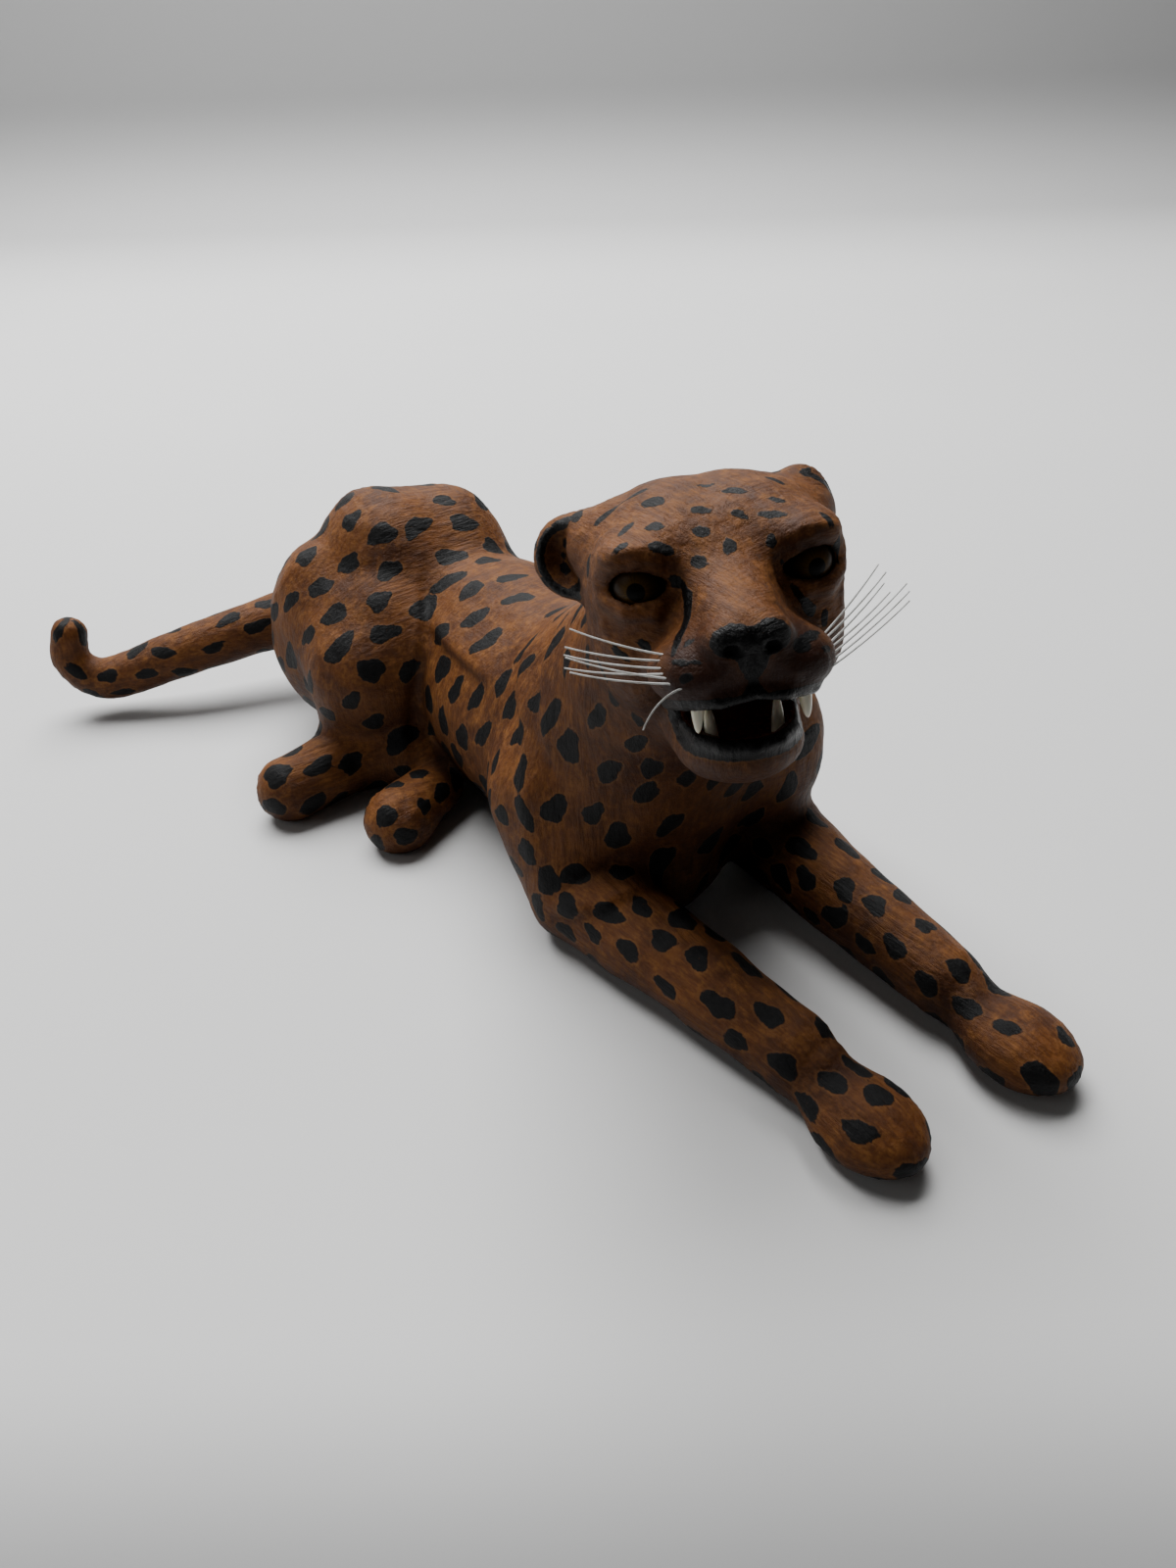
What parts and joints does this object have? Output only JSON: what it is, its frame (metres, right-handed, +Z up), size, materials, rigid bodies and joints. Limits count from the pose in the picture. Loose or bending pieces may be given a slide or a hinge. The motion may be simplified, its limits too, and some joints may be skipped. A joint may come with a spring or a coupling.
{
  "type": "leather leopard sculpture",
  "caption": "Lying leopard figure covered in spotted painted leather, with glass eyes, open mouth with canine teeth, and whiskers.",
  "frame": {"origin": "on the flat underside of the trunk, in the plane that the figure lies on, under the ribs", "axes": "+X is the animal's left, -Y is the way the forelegs point, +Z is up"},
  "size_m": [0.1825, 0.3811, 0.1494],
  "materials": {
    "leather": "tan brown leather moulded over a light core, brushed hair-like grain, charcoal-black painted spots, waxed",
    "eye_glass": "dark glass eye with an amber-olive iris and black pupil, opaque from outside",
    "tooth_ivory": "ivory-white glossy moulded tooth",
    "whisker_nylon": "clear white nylon hair"
  },
  "bodies": {
    "root": {"leather_body": "leather", "glass_eye_right": "eye_glass", "upper_canine_right": "tooth_ivory", "lower_canine_right": "tooth_ivory", "glass_eye_left": "eye_glass", "upper_canine_left": "tooth_ivory", "lower_canine_left": "tooth_ivory", "whisker_right_1": "whisker_nylon", "whisker_right_2": "whisker_nylon", "whisker_right_3": "whisker_nylon", "whisker_right_4": "whisker_nylon", "whisker_right_5": "whisker_nylon", "whisker_right_6": "whisker_nylon", "whisker_right_7": "whisker_nylon", "whisker_left_1": "whisker_nylon", "whisker_left_2": "whisker_nylon", "whisker_left_3": "whisker_nylon", "whisker_left_4": "whisker_nylon", "whisker_left_5": "whisker_nylon", "whisker_left_6": "whisker_nylon", "whisker_left_7": "whisker_nylon"}
  },
  "joints": []
}
